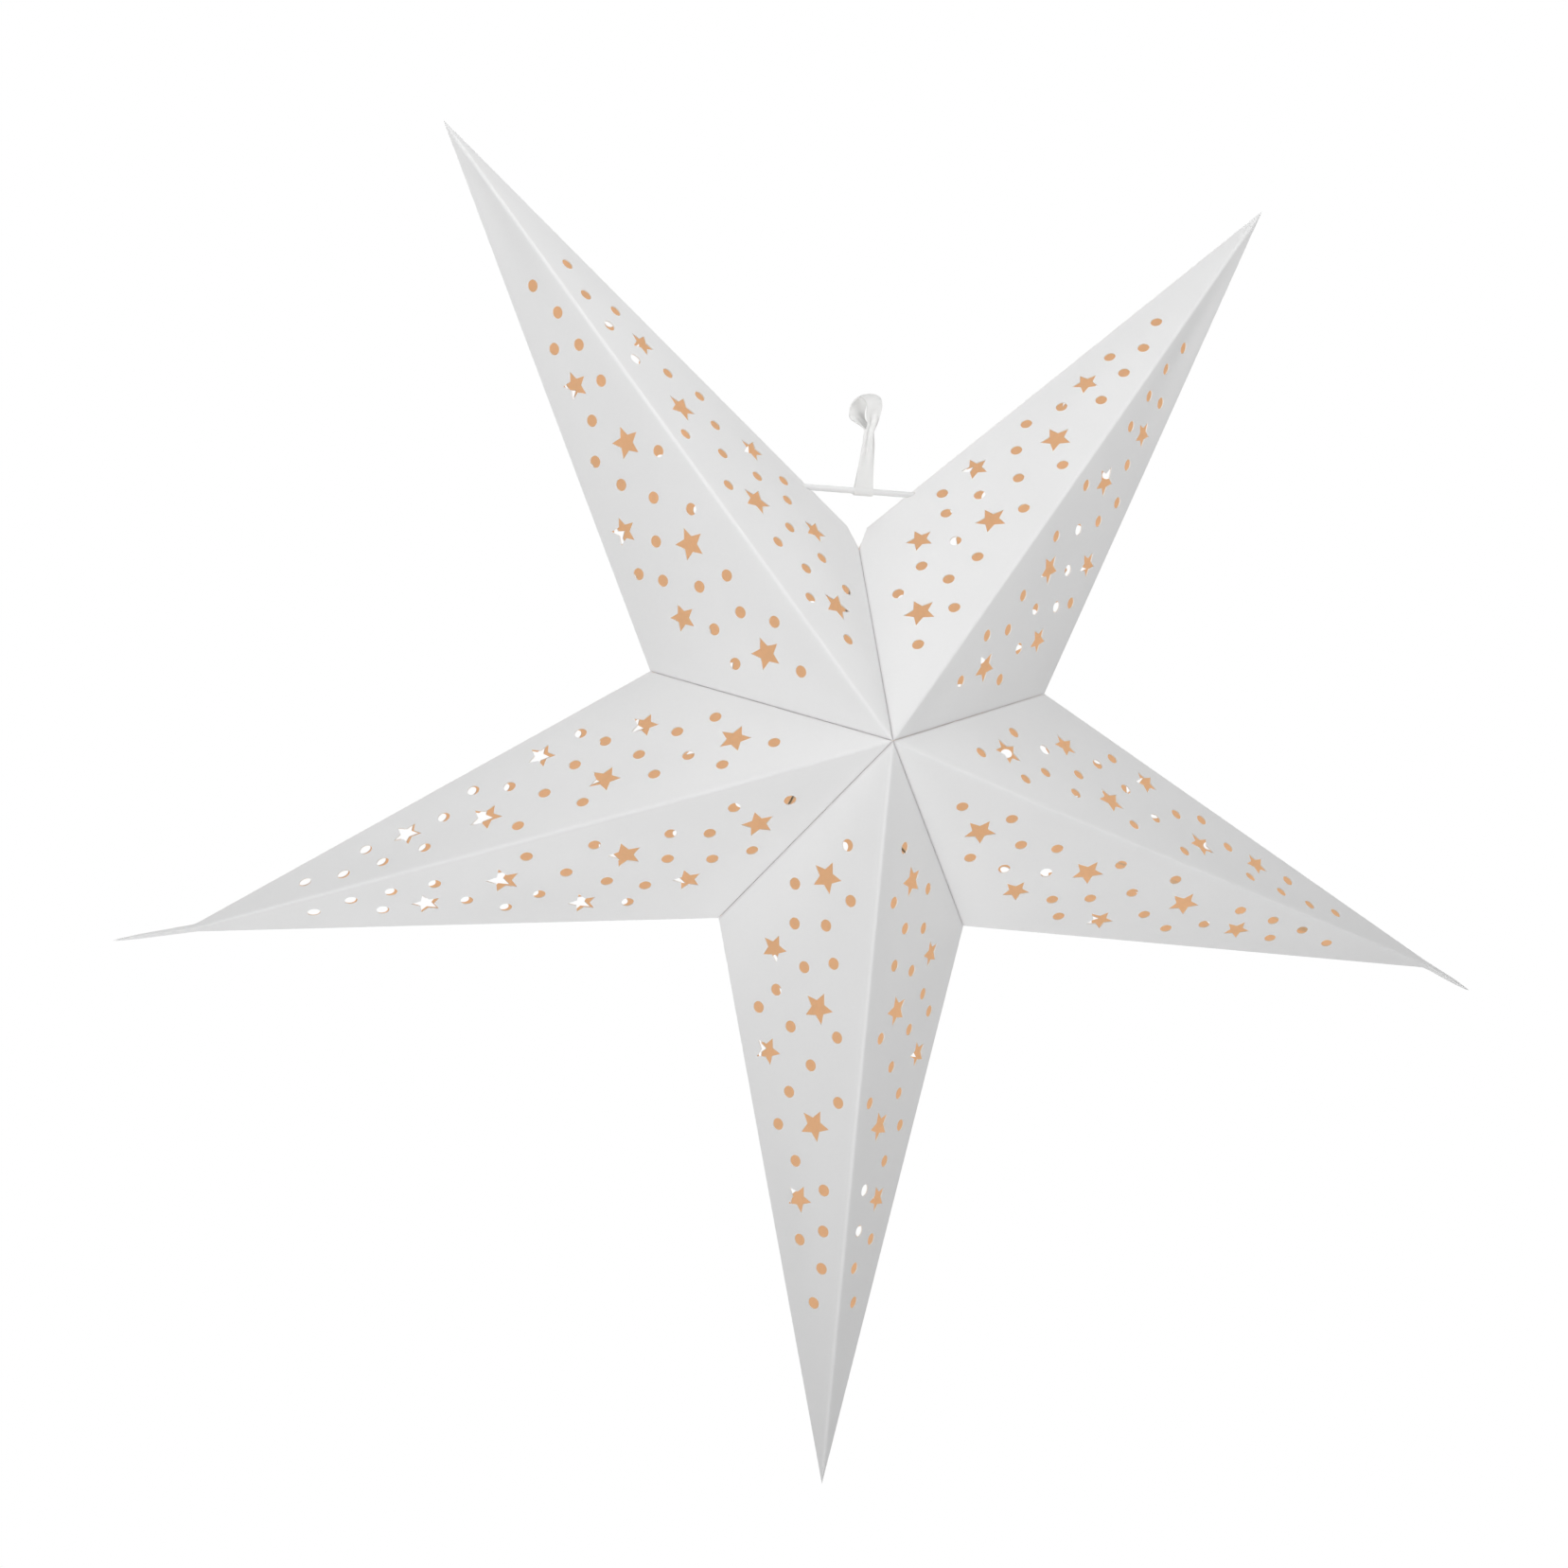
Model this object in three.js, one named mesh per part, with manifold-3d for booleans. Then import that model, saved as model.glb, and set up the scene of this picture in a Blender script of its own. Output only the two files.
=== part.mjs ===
// Paper star lantern: five hollow rays of creased card, a spreader rod and a hanging tape.
// Millimetres, +Z up, the star's front faces -Y. The origin is where a hook bears in the tape's eye.
import * as THREE from 'three';
import { mergeVertices } from 'three/addons/utils/BufferGeometryUtils.js';
import Module from 'manifold-3d';

const wasm = await Module();
wasm.setup();

// The rays, in the order in which they are glued to each other, counter-clockwise from the front.
const rayNames = ['upper_left', 'left', 'bottom', 'right', 'upper_right'];
const sector = (2 * Math.PI) / rayNames.length;
const halfSector = sector / 2;

// The star.
const rayReach = 300;
const cornerReach = 88.3;
const halfDepth = 68;
const cardThickness = 0.45;
const creaseGap = 0.3;
const backRidgeEase = 1.6;
const tipBlunting = 5;
const apexOpening = 2;

// The punched pattern: stars in two sizes and round dots, each dot cut with a few flat sides.
const largeStarRadius = 6.9;
const smallStarRadius = 6;
const starPoints = 5;
const starHollowShare = 0.48;
const dotRadius = 2.5;
const dotSides = 4;

// Where the middle of each hole lies on a panel: its share of the way along the ridge from the tip, and
// there, its share of the way across from the ridge to the panel's other edge.
const largeStarShares = [[0.81, 0.482], [0.638, 0.35], [0.482, 0.396]];
const smallStarShares = [[0.702, 0.643], [0.564, 0.779], [0.379, 0.598]];
const dotShares = [
  [0.857, 0.426], [0.793, 0.7], [0.787, 0.217], [0.748, 0.335], [0.741, 0.538], [0.687, 0.443],
  [0.701, 0.245], [0.648, 0.655], [0.619, 0.807], [0.604, 0.569], [0.606, 0.207], [0.56, 0.419],
  [0.517, 0.624], [0.521, 0.177], [0.47, 0.762], [0.428, 0.607], [0.4, 0.292], [0.345, 0.295],
  [0.324, 0.635], [0.294, 0.32], [0.244, 0.474],
];

// The laps along the valleys, which stop short of the apex and of the corner between two rays.
const lapWidth = 9;
const lapClearance = 0.3;
const lapStartReach = 12;
const lapCornerGap = 10.3;
const openLapCornerGap = 18.3;

// The cord notch at the open seam.
const notchHalfWidth = 7;
const notchDepth = 5.8;

// The spreader rod, which goes through the side folds of the two upper rays.
const rodDiameter = 3;
const rodHoleSpacing = 42.7;
const rodInset = 8;
const rodHoleClearance = 1.2;
const rodSeatGap = 0.3;
const rodSides = 12;

// The hanging tape: a wrap round the rod, a run up to the neck, and the eye above it.
const tapeWidth = 8;
const tapeThickness = 0.7;
const tapeClearance = 0.3;
const tapeNeckWidth = 4.2;
const tapeWrapRise = 7;
const tapeNeckRun = 17;
const tapeEyeRun = 16;
const eyeRadius = 6;
const eyeTurn = THREE.MathUtils.degToRad(25);
const tapeSteps = 8;
const loopSegments = 12;

// How far a cutting tool stands past what it cuts.
const overrun = 1;

// The side folds rise this much for each step out from the open seam, and the rod lies where they are
// as far apart as its holes.
const foldSlope = (rayReach * Math.cos(halfSector) - cornerReach) / (rayReach * Math.sin(halfSector));
const rodHeight = cornerReach + foldSlope * (rodHoleSpacing / 2);
const tapeNeckRise = tapeWrapRise + tapeNeckRun;
const tapeTopRise = tapeNeckRise + tapeEyeRun;
const hangingDrop = rodHeight + tapeTopRise - tapeThickness;

const card = new THREE.MeshStandardMaterial({ color: 0xf1f1ef, roughness: 0.85, metalness: 0 });
const cotton = new THREE.MeshStandardMaterial({ color: 0xd9d8d4, roughness: 0.9, metalness: 0 });
const plastic = new THREE.MeshStandardMaterial({ color: 0xc9c9c6, roughness: 0.45, metalness: 0 });

const point = (x, y, z) => new THREE.Vector3(x, y, z);

// A ray stands upright in its own frame: x across it, y into the star, z out along its ridge.
const apex = point(0, -halfDepth, 0);
const tip = point(0, 0, rayReach);
const corner = point(cornerReach * Math.sin(halfSector), 0, cornerReach * Math.cos(halfSector));

// The right front panel's own directions: out of its face, along its ridge from the tip, and across.
const faceNormal = corner.clone().sub(apex).cross(tip.clone().sub(apex)).normalize();
const along = apex.clone().sub(tip).normalize();
const across = faceNormal.clone().cross(along);
const valleyNormal = point(Math.cos(halfSector), 0, -Math.sin(halfSector));

function toSolid(geometry) {
  geometry.deleteAttribute('normal');
  geometry.deleteAttribute('uv');
  const merged = mergeVertices(geometry);
  return new wasm.Manifold(new wasm.Mesh({
    numProp: 3,
    vertProperties: new Float32Array(merged.attributes.position.array),
    triVerts: new Uint32Array(merged.index.array),
  }));
}

function toGeometry(solid) {
  const mesh = solid.getMesh();
  const geometry = new THREE.BufferGeometry();
  geometry.setAttribute('position', new THREE.BufferAttribute(mesh.vertProperties, 3));
  geometry.setIndex(new THREE.BufferAttribute(mesh.triVerts, 1));
  return geometry;
}

// The point where three planes meet.
function meetingPoint(a, b, c) {
  const rows = new THREE.Matrix3().set(...a.normal, ...b.normal, ...c.normal);
  return point(-a.constant, -b.constant, -c.constant).applyMatrix3(rows.invert());
}

// A flat plate between two faces. Its edges lie in the given planes, in order round it, and its holes
// are loops of points on the outer face, run the other way round and cut square through the plate.
function plateBetween(outerFace, innerFace, edges, holes) {
  const rimOn = (face) => edges.map((edge, i) => meetingPoint(face, edge, edges[(i + 1) % edges.length]));
  const holesOn = (face) => holes.map((hole) => hole.map((place) => face.projectPoint(place, point())));
  const flatten = (loop) => loop.map((place) => new THREE.Vector2(place.dot(along), place.dot(across)));
  const loops = [rimOn(outerFace), ...holes];
  const count = loops.flat().length;
  const index = THREE.ShapeUtils.triangulateShape(flatten(loops[0]), holes.map(flatten))
    .flatMap(([a, b, c]) => [a, b, c, count + a, count + c, count + b]);
  let start = 0;
  loops.forEach((loop) => {
    loop.forEach((_, i) => {
      const here = start + i;
      const next = start + ((i + 1) % loop.length);
      index.push(here, count + here, count + next, here, count + next, next);
    });
    start += loop.length;
  });
  const points = [...loops, rimOn(innerFace), ...holesOn(innerFace)].flat();
  const geometry = new THREE.BufferGeometry().setFromPoints(points);
  geometry.setIndex(index);
  return toSolid(geometry);
}

const planeThrough = (normal, place) => (
  new THREE.Plane().setFromNormalAndCoplanarPoint(normal.clone().normalize(), place)
);

// The right front panel of an upright ray, with every edge cut back to half the gap at its crease.
// A back panel's ridge edge is also eased away, from nothing at the tip to its most at the star's back.
function panelSolid({ ridgeEase, notched }) {
  const outerFace = planeThrough(faceNormal, apex);
  const innerFace = planeThrough(faceNormal, apex.clone().addScaledVector(faceNormal, -cardThickness));
  const ridgeEdge = planeThrough(point(1, 0, ridgeEase / rayReach), tip.clone().setX(creaseGap / 2));
  const tipEdge = planeThrough(point(0, 0, 1), point(0, 0, rayReach - tipBlunting));
  const sideEdge = planeThrough(point(0, 1, 0), point(0, -creaseGap / 2, 0));
  const valleyEdge = planeThrough(valleyNormal, valleyNormal.clone().multiplyScalar(-creaseGap / 2));
  const apexReach = apexOpening + ridgeEase / Math.tan(halfSector);
  const apexEdge = planeThrough(point(0, 0, 1), point(0, 0, apexReach));
  const edges = [ridgeEdge, apexEdge, valleyEdge, sideEdge, tipEdge];
  if (notched) {
    edges.splice(3, 0, notchEdge());
  }
  return plateBetween(outerFace, innerFace, edges, punchedHoles());
}

// The notch cuts the panel's corner from the side fold down to the valley, square through the card.
function notchEdge() {
  const foldShare = notchHalfWidth / (rayReach * Math.sin(halfSector));
  const foldPoint = corner.clone().lerp(tip, foldShare);
  const valleyPoint = corner.clone().lerp(apex, notchDepth / cornerReach);
  const cutLine = valleyPoint.clone().sub(foldPoint);
  return planeThrough(cutLine.cross(faceNormal), foldPoint);
}

// A hole's outline about its middle, clockwise from the corner nearest to the ridge.
const holeOutline = (pointCount, reachOf) => Array.from({ length: pointCount }, (_, i) => {
  const angle = -Math.PI / 2 - (2 * Math.PI * i) / pointCount;
  return new THREE.Vector2(Math.cos(angle), Math.sin(angle)).multiplyScalar(reachOf(i));
});

const starOutline = (radius) => (
  holeOutline(2 * starPoints, (i) => (i % 2 === 0 ? radius : radius * starHollowShare))
);

// The flat-sided dot is as large as the round one, area for area.
function dotOutline() {
  const side = (2 * Math.PI) / dotSides;
  return holeOutline(dotSides, () => dotRadius * Math.sqrt(side / Math.sin(side)));
}

// The punched holes of the right front panel of an upright ray, on its outer face.
function punchedHoles() {
  const ridgeLength = apex.distanceTo(tip);
  const cornerAlong = corner.clone().sub(tip).dot(along);
  const cornerAcross = corner.clone().sub(tip).dot(across);
  const widthAt = (reach) => (
    cornerAcross * Math.min(reach / cornerAlong, (ridgeLength - reach) / (ridgeLength - cornerAlong))
  );
  const punch = (outline) => ([alongShare, acrossShare]) => {
    const reach = alongShare * ridgeLength;
    const middle = tip.clone()
      .addScaledVector(along, reach)
      .addScaledVector(across, acrossShare * widthAt(reach));
    return outline.map(({ x, y }) => middle.clone().addScaledVector(along, x).addScaledVector(across, y));
  };
  return [
    ...largeStarShares.map(punch(starOutline(largeStarRadius))),
    ...smallStarShares.map(punch(starOutline(smallStarRadius))),
    ...dotShares.map(punch(dotOutline())),
  ];
}

const group = new THREE.Group();
const star = new THREE.Group();
star.position.z = -hangingDrop;
group.add(star);

function addPiece(name, solid, material, parent) {
  const mesh = new THREE.Mesh(toGeometry(solid), material);
  mesh.name = name;
  parent.add(mesh);
}

const rodRadius = rodDiameter / 2;
const rodHoleRadius = rodRadius + rodHoleClearance;
const rodLength = rodHoleSpacing + 2 * rodInset;

function rodSolid(radius, length) {
  const geometry = new THREE.CylinderGeometry(radius, radius, length, rodSides);
  geometry.rotateZ(Math.PI / 2);
  geometry.translate(0, 0, rodHeight);
  return toSolid(geometry);
}

// The rod hole, moved into the frame of a ray whose seam side is its right side. The star hangs with
// the top of the hole on the rod, so the slack is all under the rod.
function rodHoleSolid() {
  return rodSolid(rodHoleRadius, rodLength + 2 * overrun)
    .translate([0, 0, rodSeatGap - rodHoleClearance])
    .rotate([0, THREE.MathUtils.radToDeg(halfSector), 0]);
}

const plainPanel = {
  front: panelSolid({ ridgeEase: 0, notched: false }),
  back: panelSolid({ ridgeEase: backRidgeEase, notched: false }),
};
const seamPanel = {
  front: panelSolid({ ridgeEase: 0, notched: true }).subtract(rodHoleSolid()),
  back: panelSolid({ ridgeEase: backRidgeEase, notched: true }).subtract(rodHoleSolid()),
};

// A lap along the front valley, drawn in the upright plane between two rays: x out from the star's
// axis, y into the star, and z across the card, towards the next ray round.
function lapSolid(endReach, near, far) {
  const valley = new THREE.Vector2(cornerReach, halfDepth).normalize();
  const inward = new THREE.Vector2(-valley.y, valley.x);
  const lean = faceNormal.dot(valleyNormal);
  const setBack = cardThickness / Math.sqrt(1 - lean ** 2) + lapClearance;
  const at = (reach, depth) => new THREE.Vector2(0, -halfDepth)
    .addScaledVector(valley, reach / valley.x)
    .addScaledVector(inward, depth);
  const outline = [
    at(lapStartReach, setBack),
    at(endReach, setBack),
    at(endReach - lapWidth, setBack + lapWidth),
    at(lapStartReach + lapWidth, setBack + lapWidth),
  ];
  const geometry = new THREE.ExtrudeGeometry(new THREE.Shape(outline), {
    depth: far - near,
    bevelEnabled: false,
  });
  geometry.translate(0, 0, near);
  return toSolid(geometry);
}

// A loop of tape seen from the side: an arc that runs out to a point, where its two strands meet.
function loopShape({ centreRise, pointRise, radius }, inset) {
  const inner = radius - inset;
  const reach = ((pointRise - centreRise) * inner) / radius;
  const toPoint = Math.sign(reach) * (Math.PI / 2);
  const spread = Math.acos(inner / Math.abs(reach));
  const shape = new THREE.Shape();
  shape.absarc(0, centreRise, inner, toPoint + spread, toPoint - spread + 2 * Math.PI, false);
  shape.lineTo(0, centreRise + reach);
  return shape;
}

const loopTip = ({ centreRise, pointRise, radius }, inset) => (
  centreRise + ((pointRise - centreRise) * (radius - inset)) / radius
);

// Narrows the tape towards its neck, widens it again above, and turns the eye on its upright axis.
function drawTape(geometry) {
  const places = geometry.attributes.position;
  for (let i = 0; i < places.count; i += 1) {
    const place = point().fromBufferAttribute(places, i);
    const neckShare = THREE.MathUtils.smoothstep(place.z, tapeWrapRise, tapeNeckRise);
    const eyeShare = THREE.MathUtils.smoothstep(place.z, tapeNeckRise, tapeTopRise - eyeRadius);
    place.x *= THREE.MathUtils.lerp(1, tapeNeckWidth / tapeWidth, neckShare * (1 - eyeShare));
    place.applyAxisAngle(point(0, 0, 1), eyeTurn * neckShare);
    places.setXYZ(i, place.x, place.y, place.z);
  }
  geometry.translate(0, 0, rodHeight);
  return toSolid(geometry);
}

function loopSolid(loop, inset, width) {
  const geometry = new THREE.ExtrudeGeometry(loopShape(loop, inset), {
    depth: width,
    bevelEnabled: false,
    curveSegments: loopSegments,
  });
  geometry.translate(0, 0, -width / 2);
  geometry.applyMatrix4(new THREE.Matrix4().makeBasis(point(0, 1, 0), point(0, 0, 1), point(1, 0, 0)));
  return drawTape(geometry);
}

function tapeSolid() {
  const wrap = {
    centreRise: 0,
    pointRise: tapeWrapRise,
    radius: rodRadius + tapeClearance + tapeThickness,
  };
  const eye = {
    centreRise: tapeTopRise - eyeRadius,
    pointRise: tapeNeckRise,
    radius: eyeRadius,
  };
  const strandBottom = loopTip(wrap, tapeThickness);
  const strandTop = loopTip(eye, tapeThickness);
  const strandRise = strandTop - strandBottom;
  const strands = new THREE.BoxGeometry(tapeWidth, 2 * tapeThickness, strandRise, 1, 1, tapeSteps);
  strands.translate(0, 0, strandBottom + strandRise / 2);
  const cutWidth = tapeWidth + 2 * overrun;
  return drawTape(strands)
    .add(loopSolid(wrap, 0, tapeWidth))
    .add(loopSolid(eye, 0, tapeWidth))
    .subtract(loopSolid(wrap, tapeThickness, cutWidth))
    .subtract(loopSolid(eye, tapeThickness, cutWidth));
}

rayNames.forEach((rayName, ray) => {
  const place = new THREE.Group();
  place.rotation.y = -(ray + 0.5) * sector;
  star.add(place);
  ['left', 'right'].forEach((side) => {
    ['front', 'back'].forEach((face) => {
      const atOpenSeam = (ray === 0 && side === 'right') || (ray === rayNames.length - 1 && side === 'left');
      const solid = (atOpenSeam ? seamPanel : plainPanel)[face];
      const mirrored = solid.scale([side === 'right' ? 1 : -1, face === 'front' ? 1 : -1, 1]);
      addPiece(`${rayName}_ray_${face}_${side}_panel`, mirrored, card, place);
    });
  });
});

// The glued laps, one pair of cards thick, stand in the plane between two neighbouring rays.
const gluedLap = lapSolid(cornerReach - lapCornerGap, -cardThickness, cardThickness);
const openLap = lapSolid(cornerReach - openLapCornerGap, creaseGap / 2, creaseGap / 2 + cardThickness);

function betweenRays(seam) {
  const place = new THREE.Group();
  place.rotation.y = -seam * sector - Math.PI / 2;
  star.add(place);
  return place;
}

function addLap(name, solid, place) {
  addPiece(`${name}_front`, solid, card, place);
  addPiece(`${name}_back`, solid.scale([1, -1, 1]), card, place);
}

for (let seam = 1; seam < rayNames.length; seam += 1) {
  addLap(`glued_lap_${rayNames[seam - 1]}_to_${rayNames[seam]}`, gluedLap, betweenRays(seam));
}
addLap(`open_lap_${rayNames[0]}`, openLap, betweenRays(0));
addLap(`open_lap_${rayNames.at(-1)}`, openLap.scale([1, 1, -1]), betweenRays(0));

addPiece('spreader_rod', rodSolid(rodRadius, rodLength), plastic, star);
addPiece('hanging_tape', tapeSolid(), cotton, star);

export default group;
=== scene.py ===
"""Paper star lantern: the punched and folded card sheets, the spreader rod and the hanging tape, built
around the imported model. Metres, +Z up, the star's front faces -Y, and a hook bears at the origin."""
import math
from contextlib import contextmanager
from math import cos, pi, radians, sin

import bmesh
import bpy
from bpy.props import FloatProperty, FloatVectorProperty, PointerProperty
from mathutils import Matrix, Quaternion, Vector


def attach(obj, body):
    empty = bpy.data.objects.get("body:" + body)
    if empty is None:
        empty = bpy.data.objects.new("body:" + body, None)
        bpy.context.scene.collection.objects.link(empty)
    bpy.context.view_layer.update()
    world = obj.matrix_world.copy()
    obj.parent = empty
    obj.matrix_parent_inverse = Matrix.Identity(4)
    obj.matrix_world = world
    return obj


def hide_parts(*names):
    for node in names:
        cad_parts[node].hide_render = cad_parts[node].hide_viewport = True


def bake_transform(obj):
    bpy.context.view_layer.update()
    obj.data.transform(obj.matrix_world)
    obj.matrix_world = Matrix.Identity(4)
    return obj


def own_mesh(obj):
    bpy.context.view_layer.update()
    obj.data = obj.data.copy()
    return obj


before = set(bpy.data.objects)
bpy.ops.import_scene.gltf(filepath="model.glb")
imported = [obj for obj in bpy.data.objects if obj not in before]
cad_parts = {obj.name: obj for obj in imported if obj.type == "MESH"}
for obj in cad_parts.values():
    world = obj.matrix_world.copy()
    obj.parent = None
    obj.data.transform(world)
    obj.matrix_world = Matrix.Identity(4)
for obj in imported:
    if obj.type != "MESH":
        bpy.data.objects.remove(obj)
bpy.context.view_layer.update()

bl_info = {
    "name": "Paper star lantern",
    "version": (1, 0, 0),
    "blender": (4, 5, 0),
    "location": "3D View > Sidebar > Paper star",
    "description": "Folds, glues and hangs a punched paper star",
    "category": "Add Mesh",
}

MM = 0.001
RAY_NAMES = ["upper_left", "left", "bottom", "right", "upper_right"]
SECTOR = 2 * pi / len(RAY_NAMES)
HALF_SECTOR = SECTOR / 2

# The signs that mirror a right front panel to a side of its ray and to a face of the star.
SIDE_SIGNS = {"right": 1, "left": -1}
FACE_SIGNS = {"front": 1, "back": -1}

# The middle of each hole on a panel: its share of the way along the ridge from the tip, and there its
# share of the way across from the ridge to the panel's other edge.
LARGE_STAR_SHARES = [(0.81, 0.482), (0.638, 0.35), (0.482, 0.396)]
SMALL_STAR_SHARES = [(0.702, 0.643), (0.564, 0.779), (0.379, 0.598)]
DOT_SHARES = [
    (0.857, 0.426), (0.793, 0.7), (0.787, 0.217), (0.748, 0.335), (0.741, 0.538), (0.687, 0.443),
    (0.701, 0.245), (0.648, 0.655), (0.619, 0.807), (0.604, 0.569), (0.606, 0.207), (0.56, 0.419),
    (0.517, 0.624), (0.521, 0.177), (0.47, 0.762), (0.428, 0.607), (0.4, 0.292), (0.345, 0.295),
    (0.324, 0.635), (0.294, 0.32), (0.244, 0.474),
]


def length_property(name, description, default):
    return FloatProperty(name=name, description=description, default=default, min=0, unit="LENGTH",
                         subtype="DISTANCE", precision=5)


def colour_property(name, description, default):
    return FloatVectorProperty(name=name, description=description, default=hex_colour(default)[:3], min=0,
                               max=1, size=3, subtype="COLOR")


def hex_colour(text):
    """Turns an sRGB hex colour into Blender's linear one."""
    def linear(value):
        return value / 12.92 if value <= 0.04045 else ((value + 0.055) / 1.055) ** 2.4
    return tuple(linear(int(text[i:i + 2], 16) / 255) for i in (1, 3, 5)) + (1.0,)


class StarSizes(bpy.types.PropertyGroup):
    """The sizes that a maker would change"""
    ray_reach: length_property("Ray reach", "From the star's middle to a tip", 300 * MM)
    corner_reach: length_property("Corner reach", "From the star's middle to a corner between rays",
                                  88.3 * MM)
    half_depth: length_property("Half depth", "From the star's middle to its front apex", 68 * MM)
    hanging_drop: length_property("Hanging drop", "From the hook down to the star's middle", 146.2947 * MM)
    card_thickness: length_property("Card thickness", "Thickness of the card", 0.42 * MM)
    seam_gap: length_property("Seam gap", "From a valley's plane to the card's folded edge", 0.04 * MM)
    crease_round: length_property("Crease round", "How far a ridge's rounding reaches to each side",
                                  1.1 * MM)
    bow: length_property("Bow", "How far a front panel bows out of its plane", 0.9 * MM)
    back_bow: length_property("Back bow", "How far a back panel bows out of its plane", 0.45 * MM)
    large_star: length_property("Large star", "Middle of a large star to its points", 6.9 * MM)
    small_star: length_property("Small star", "Middle of a small star to its points", 6.0 * MM)
    dot: length_property("Dot", "Radius of a round hole", 2.45 * MM)
    notch_width: length_property("Notch width", "Half the width of the notch at the top seam", 4.2 * MM)
    notch_depth: length_property("Notch depth", "Depth of the notch at the top seam", 6.2 * MM)
    rod_height: length_property("Rod height", "From the star's middle up to the rod", 106.9947 * MM)
    rod_length: length_property("Rod length", "Length of the spreader rod", 58.7 * MM)
    rod_radius: length_property("Rod radius", "Radius of the spreader rod", 1.3 * MM)
    rod_play: length_property("Rod play", "Between the rod and the rim of its hole", 0.15 * MM)
    lap_width: length_property("Lap width", "Width of a glue lap", 9 * MM)
    tape_width: length_property("Tape width", "Width of the hanging tape", 8 * MM)
    tape_thickness: length_property("Tape thickness", "Thickness of the hanging tape", 0.55 * MM)
    tape_neck: length_property("Tape neck", "Width of the tape where it is gathered", 5 * MM)


class StarColours(bpy.types.PropertyGroup):
    """The colours that a maker would change"""
    card: colour_property("Card", "Outer face of the card", "#F1F1F1")
    inside: colour_property("Inside", "Inner face of the card", "#DEA880")
    tape: colour_property("Tape", "Cotton tape", "#E0E0DF")
    rod: colour_property("Rod", "Plastic of the rod", "#E2E2E2")


def sizes():
    return bpy.context.scene.star_sizes


def colours():
    return bpy.context.scene.star_colours


def add_node(tree, kind, settings=None, links=None, **values):
    """Adds a node, sets its properties and socket values, and links other sockets into its inputs. An
    underscore in a value's name stands for a space in the socket's."""
    node = tree.nodes.new(kind)
    for name, value in (settings or {}).items():
        setattr(node, name, value)
    for name, value in values.items():
        node.inputs[name.replace("_", " ")].default_value = value
    for name, socket in (links or {}).items():
        tree.links.new(socket, node.inputs[name])
    return node


def new_material(name):
    """A new material with no nodes. What it gives off is too faint to be sampled as a lamp is, which
    would leave specks in small hollows, such as the tape's eye."""
    material = bpy.data.materials.new(name)
    material.use_nodes = True
    material.node_tree.nodes.clear()
    material.cycles.emission_sampling = "NONE"
    return material, material.node_tree


def finish_material(tree, shader):
    output = tree.nodes.new("ShaderNodeOutputMaterial")
    tree.links.new(shader.outputs[0], output.inputs["Surface"])


def shaded(colour, factor=1.0):
    """An opaque colour, darkened by the factor."""
    return tuple(value * factor for value in colour[:3]) + (1.0,)


# The sizes of the materials' patterns: the clouds and the fibre of the card's face, the fibre of its back,
# and the draw lines of the rod. Real fibre is finer, and is drawn as coarse as it needs to be to show.
CLOUD_SIZE = 35.714 * MM
FACE_FIBRE = 1.1111 * MM
BACK_FIBRE = 2.381 * MM
LINE_LENGTH, LINE_WIDTH = 16.667 * MM, 0.625 * MM

# From rib to rib and from pick to pick of the tape's weave, in millimetres, as the tape's own map is. A
# wave texture of scale 1 repeats at every tenth of pi.
RIB_PITCH, PICK_PITCH = 0.4488, 0.2856
WAVE_REPEAT = pi / 10

# How strongly each material gives off painted light, which stands in for daylight coming through it.
CARD_GLOW = 0.26
TAPE_GLOW = 0.16
ROD_GLOW = 0.12


def white_card_material():
    """Bleached paperboard, calendered: a matt white face with a faint cloudiness from uneven fibre, and
    a fine tooth that breaks up what little sheen it has. Along its creases it is darkened by a little
    painted shade."""
    material, tree = new_material("bleached_paperboard_calendered")
    white = shaded(colours().card)
    place = add_node(tree, "ShaderNodeTexCoord").outputs["Object"]
    cloud = add_node(tree, "ShaderNodeTexNoise", links={"Vector": place}, Scale=1 / CLOUD_SIZE, Detail=3.0)
    fibre = add_node(tree, "ShaderNodeTexNoise", links={"Vector": place}, Scale=1 / FACE_FIBRE, Detail=4.0)
    uneven = add_node(tree, "ShaderNodeMath", {"operation": "MULTIPLY_ADD"},
                      {0: fibre.outputs[0], 2: cloud.outputs[0]})
    uneven.inputs[1].default_value = 0.5
    ramp = add_node(tree, "ShaderNodeValToRGB", links={"Fac": uneven.outputs[0]})
    ramp.color_ramp.elements[0].position = 0.45
    ramp.color_ramp.elements[0].color = shaded(white, 0.975)
    ramp.color_ramp.elements[1].color = white
    # Painted shade: along the valley creases the card is darkened towards a pale grey.
    painted_crease_shade = add_node(tree, "ShaderNodeAttribute",
                      {"attribute_name": "painted_crease_shade", "attribute_type": "GEOMETRY"})
    painted_shade = add_node(tree, "ShaderNodeMix", {"data_type": "RGBA", "blend_type": "MULTIPLY"},
                    {"Factor": painted_crease_shade.outputs["Fac"], 6: ramp.outputs[0]})
    painted_shade.inputs[7].default_value = hex_colour("#EDEBEC")
    bump = add_node(tree, "ShaderNodeBump", links={"Height": fibre.outputs[0]}, Strength=0.12,
                    Distance=0.2 * MM)
    shader = add_node(tree, "ShaderNodeBsdfPrincipled",
                      links={"Base Color": painted_shade.outputs[2], "Normal": bump.outputs[0]},
                      Roughness=0.86, Specular_IOR_Level=0.3)
    finish_material(tree, shader)
    return material


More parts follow.
